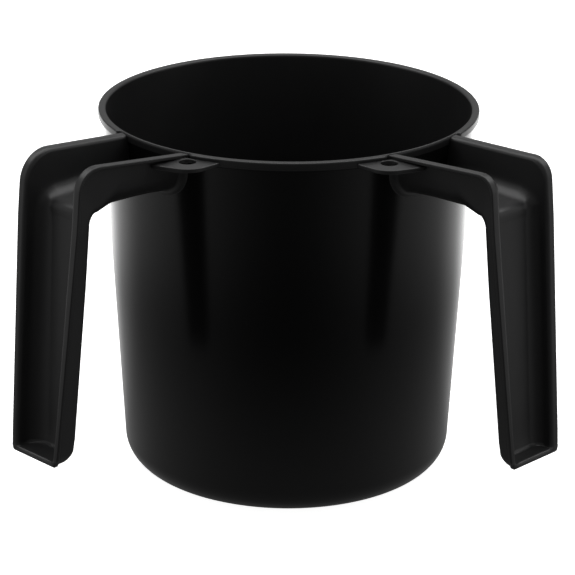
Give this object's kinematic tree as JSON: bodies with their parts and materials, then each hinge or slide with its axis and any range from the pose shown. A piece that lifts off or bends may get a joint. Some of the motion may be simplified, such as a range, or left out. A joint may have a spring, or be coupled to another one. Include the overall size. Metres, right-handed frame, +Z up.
{
  "type": "florist bucket",
  "caption": "Low round flared bucket with a flanged mouth, long drop handles turned down from the rim, and a holed ear beside each handle.",
  "frame": {"origin": "centre of the flat base, on the surface that the bucket stands on", "axes": "+Z up along the bucket's axis; the two handles stand out at 45 degrees either side of -Y; +X to the right when the handles face the viewer"},
  "size_m": [0.2253, 0.1959, 0.167],
  "materials": {
    "shell_plastic": "polished black moulded polypropylene",
    "handle_plastic": "black moulded polypropylene, slightly duller than the shell"
  },
  "bodies": {
    "root": {"bucket_shell": "shell_plastic", "left_handle": "handle_plastic", "left_ear": "handle_plastic", "right_handle": "handle_plastic", "right_ear": "handle_plastic"}
  },
  "joints": []
}
